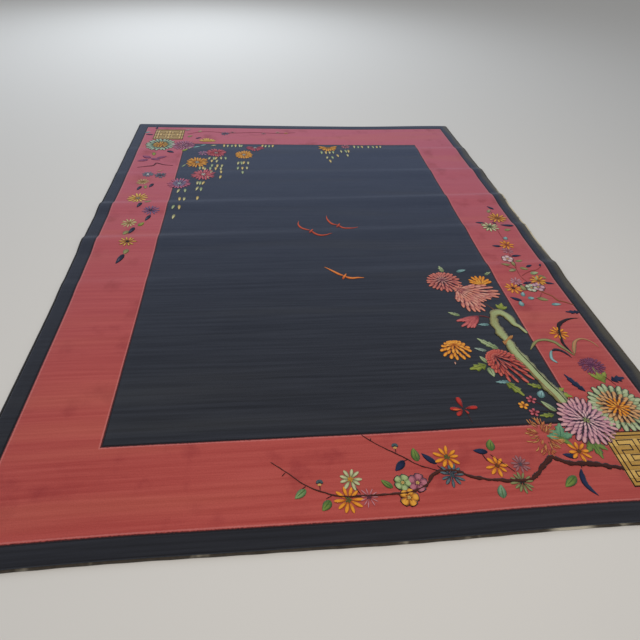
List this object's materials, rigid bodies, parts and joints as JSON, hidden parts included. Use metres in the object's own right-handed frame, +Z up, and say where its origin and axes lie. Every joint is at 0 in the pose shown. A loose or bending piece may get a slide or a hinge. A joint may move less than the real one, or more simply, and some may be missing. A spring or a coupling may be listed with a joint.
{
  "type": "chinese art deco rug",
  "caption": "Hand-knotted wool pile rug lying flat, with overcast side cords and narrow woven end webs, its pile carrying a wide border and flower sprays.",
  "frame": {"origin": "on the floor, under the middle of the rug's outline box", "axes": "+Y along the rug's length, from the end with the large fret block to the end with the hanging blossoms; +X across its width, towards the side with the tree; +Z up, out of the pile"},
  "size_m": [2.756, 3.714, 0.025],
  "materials": {
    "knotted_wool_pile": "hand-knotted sheared wool pile, navy field, rose border and navy guard band with coloured motifs",
    "overcast_wool_yarn": "navy wool yarn wrapped round the side warps, worn to pale cotton in places",
    "cotton_plain_weave": "undyed cotton plain weave, dusty"
  },
  "bodies": {
    "root": {"rug_body": "knotted_wool_pile", "side_cord_left": "overcast_wool_yarn", "side_cord_right": "overcast_wool_yarn", "end_web_near": "cotton_plain_weave", "end_web_far": "cotton_plain_weave"}
  },
  "joints": []
}
